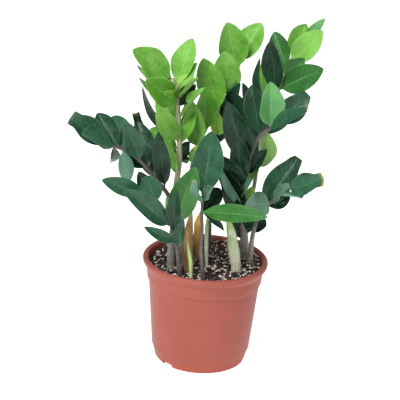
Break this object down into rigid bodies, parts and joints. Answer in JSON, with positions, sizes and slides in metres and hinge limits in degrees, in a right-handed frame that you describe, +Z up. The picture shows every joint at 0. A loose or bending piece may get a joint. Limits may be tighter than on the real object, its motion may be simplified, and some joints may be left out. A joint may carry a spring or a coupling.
{
  "type": "potted zz plant",
  "caption": "ZZ plant with upright arching fronds of glossy oval leaflets, in a tapered terracotta-coloured plastic nursery pot with a rolled rim and dark potting soil.",
  "frame": {"origin": "middle of the pot's base, on the surface that the pot stands on", "axes": "+Z up along the pot's axis; +Y away from the plant's front; +X to the right when the front is faced"},
  "size_m": [0.328, 0.2481, 0.4574],
  "materials": {
    "terracotta_plastic": "satin",
    "potting_soil": "matte, moist and crumbly",
    "rhizome_skin": "matte",
    "stem_olive": "satin",
    "stem_purple": "satin",
    "leaf_mature": "gloss, waxy",
    "leaf_mid": "gloss, waxy",
    "leaf_young": "satin, waxy",
    "sheath_dry": "matte, papery",
    "sheath_pale": "satin"
  },
  "bodies": {
    "root": {"leaflet_back_1": "leaf_young", "leaflet_back_2": "leaf_young", "leaflet_back_3": "leaf_young", "leaflet_front_1": "leaf_mid", "leaflet_front_2": "leaf_mid", "leaflet_left_1": "leaf_mature", "leaflet_left_2": "leaf_mature", "leaflet_left_3": "leaf_mature", "leaflet_left_4": "leaf_mature", "leaflet_left_5": "leaf_mature", "leaflet_left_6": "leaf_mature", "leaflet_left_7": "leaf_mature", "leaflet_left_8": "leaf_mature", "leaflet_low_left_1": "leaf_mature", "leaflet_low_left_2": "leaf_mature", "leaflet_low_left_3": "leaf_mature", "leaflet_low_left_4": "leaf_mature", "leaflet_low_right_1": "leaf_mature", "leaflet_low_right_2": "leaf_mature", "leaflet_low_right_3": "leaf_mature", "leaflet_right_1": "leaf_mature", "leaflet_right_2": "leaf_mature", "leaflet_right_3": "leaf_mature", "leaflet_right_4": "leaf_mature", "leaflet_right_5": "leaf_mature", "leaflet_right_6": "leaf_mature", "leaflet_right_7": "leaf_mature", "leaflet_right_rear_1": "leaf_mature", "leaflet_right_rear_2": "leaf_mature", "leaflet_tall_left_1": "leaf_young", "leaflet_tall_left_2": "leaf_young", "leaflet_tall_left_3": "leaf_young", "leaflet_tall_left_4": "leaf_young", "leaflet_tall_left_5": "leaf_young", "leaflet_tall_right_1": "leaf_young", "leaflet_tall_right_2": "leaf_young", "leaflet_tall_right_3": "leaf_young", "leaflet_tall_right_4": "leaf_young", "leaflet_young_1": "leaf_young", "leaflet_young_2": "leaf_young", "leaflet_young_3": "leaf_young", "pot": "terracotta_plastic", "rhizome_left": "rhizome_skin", "rhizome_right": "rhizome_skin", "sheath_brown": "sheath_dry", "sheath_green": "sheath_pale", "sheath_pale": "sheath_pale", "sheath_yellow": "sheath_dry", "soil": "potting_soil", "stem_back": "stem_purple", "stem_front": "stem_purple", "stem_left": "stem_purple", "stem_low_left": "stem_purple", "stem_low_right": "stem_purple", "stem_right": "stem_purple", "stem_right_rear": "stem_purple", "stem_tall_left": "stem_olive", "stem_tall_right": "stem_olive", "stem_young": "stem_olive", "young_spear": "leaf_young"}
  },
  "joints": []
}
